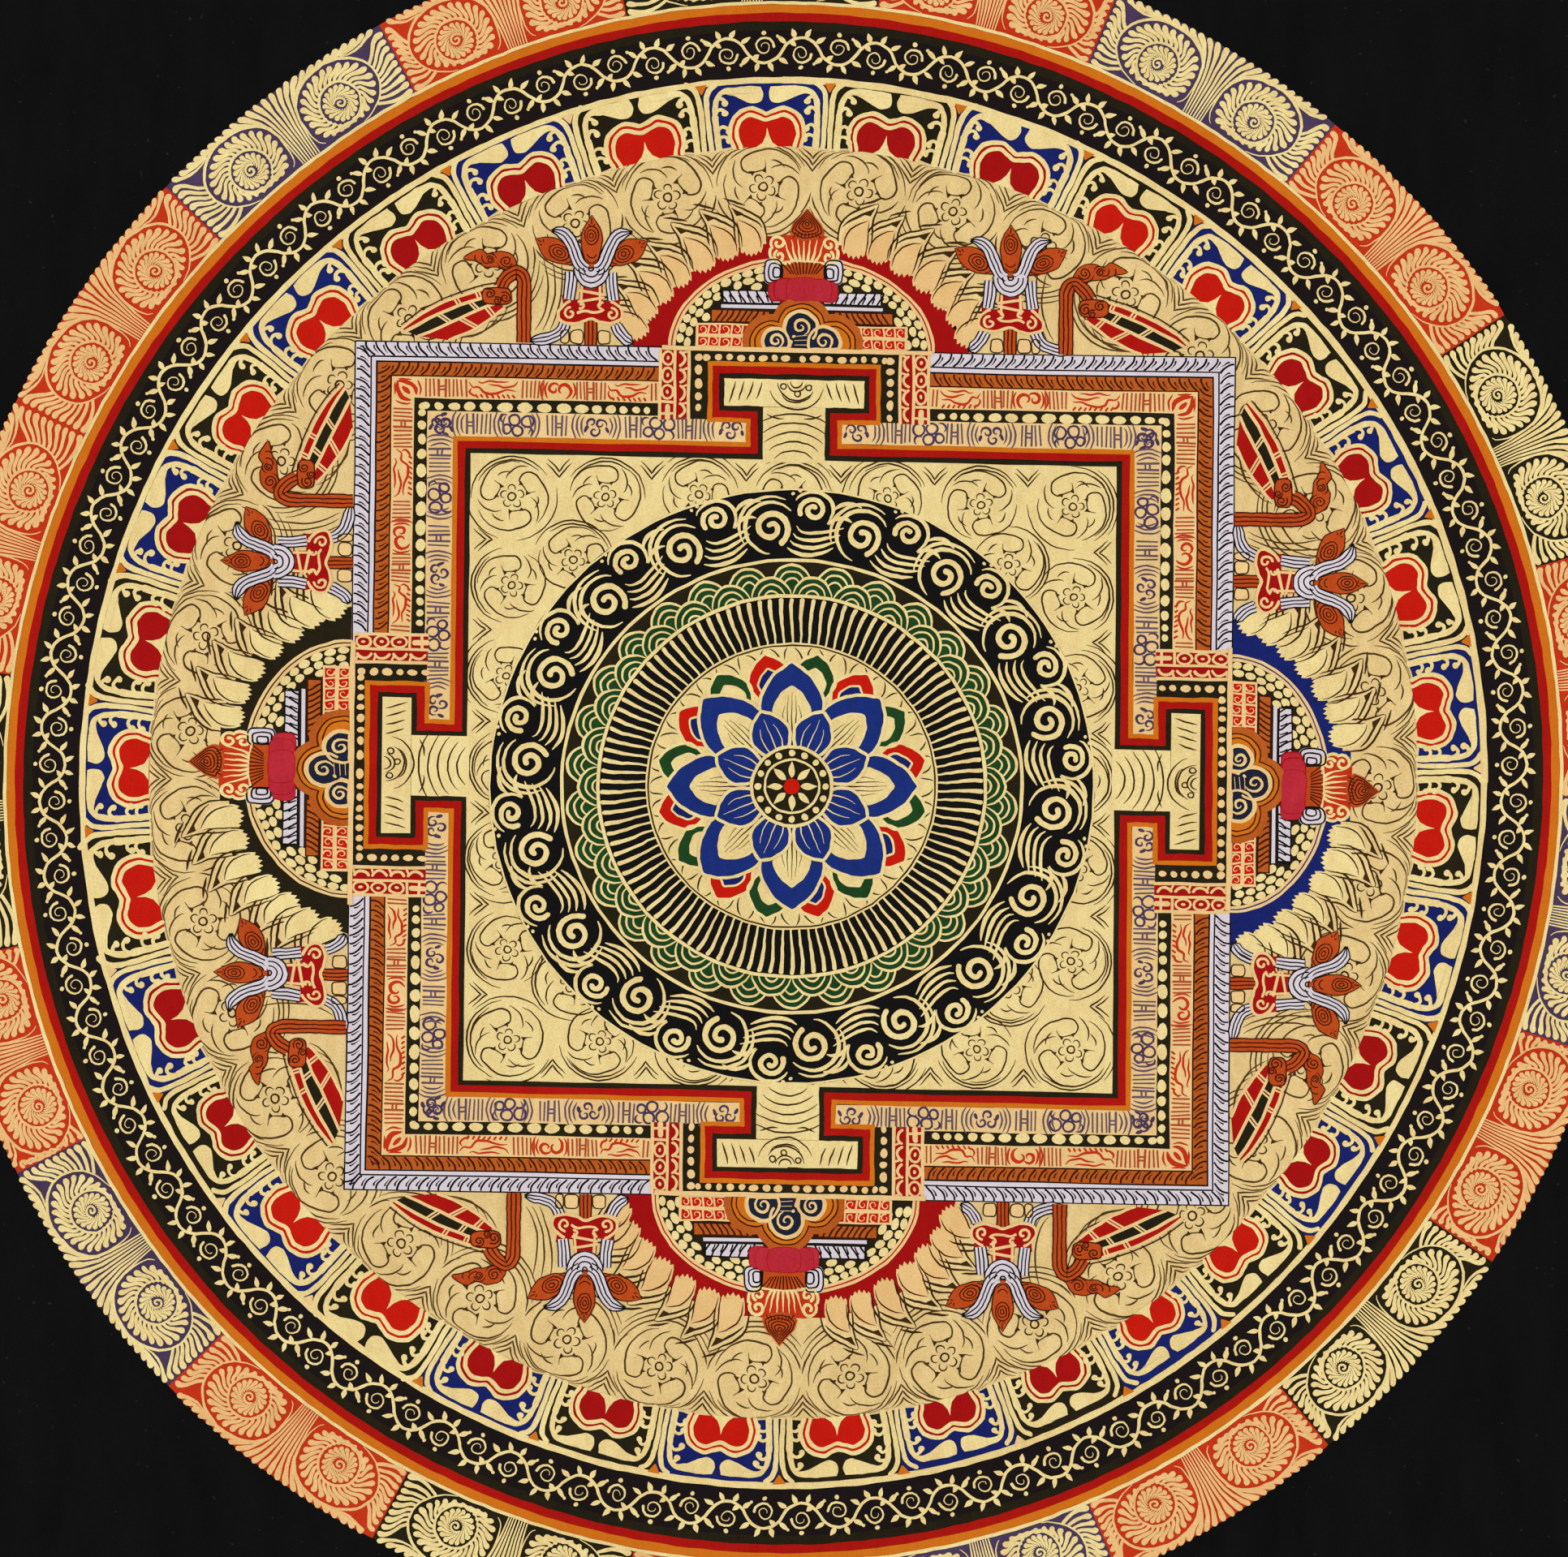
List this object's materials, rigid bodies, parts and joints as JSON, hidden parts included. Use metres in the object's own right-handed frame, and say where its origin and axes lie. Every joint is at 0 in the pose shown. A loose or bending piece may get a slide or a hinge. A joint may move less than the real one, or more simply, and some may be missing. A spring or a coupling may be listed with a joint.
{
  "type": "thangka scroll painting",
  "caption": "Flat hand-cut square of primed cotton canvas painted with a round gold mandala on a black ground, before it is mounted as a scroll.",
  "frame": {"origin": "middle of the underside of the canvas", "axes": "+Z out of the painted face, +X to the right of the picture, +Y to its top"},
  "size_m": [0.5096, 0.508, 0.001],
  "materials": {
    "painted_canvas": "matte black mineral paint over chalk priming, with fine gold and coloured brushwork"
  },
  "bodies": {
    "root": {"canvas": "painted_canvas"}
  },
  "joints": []
}
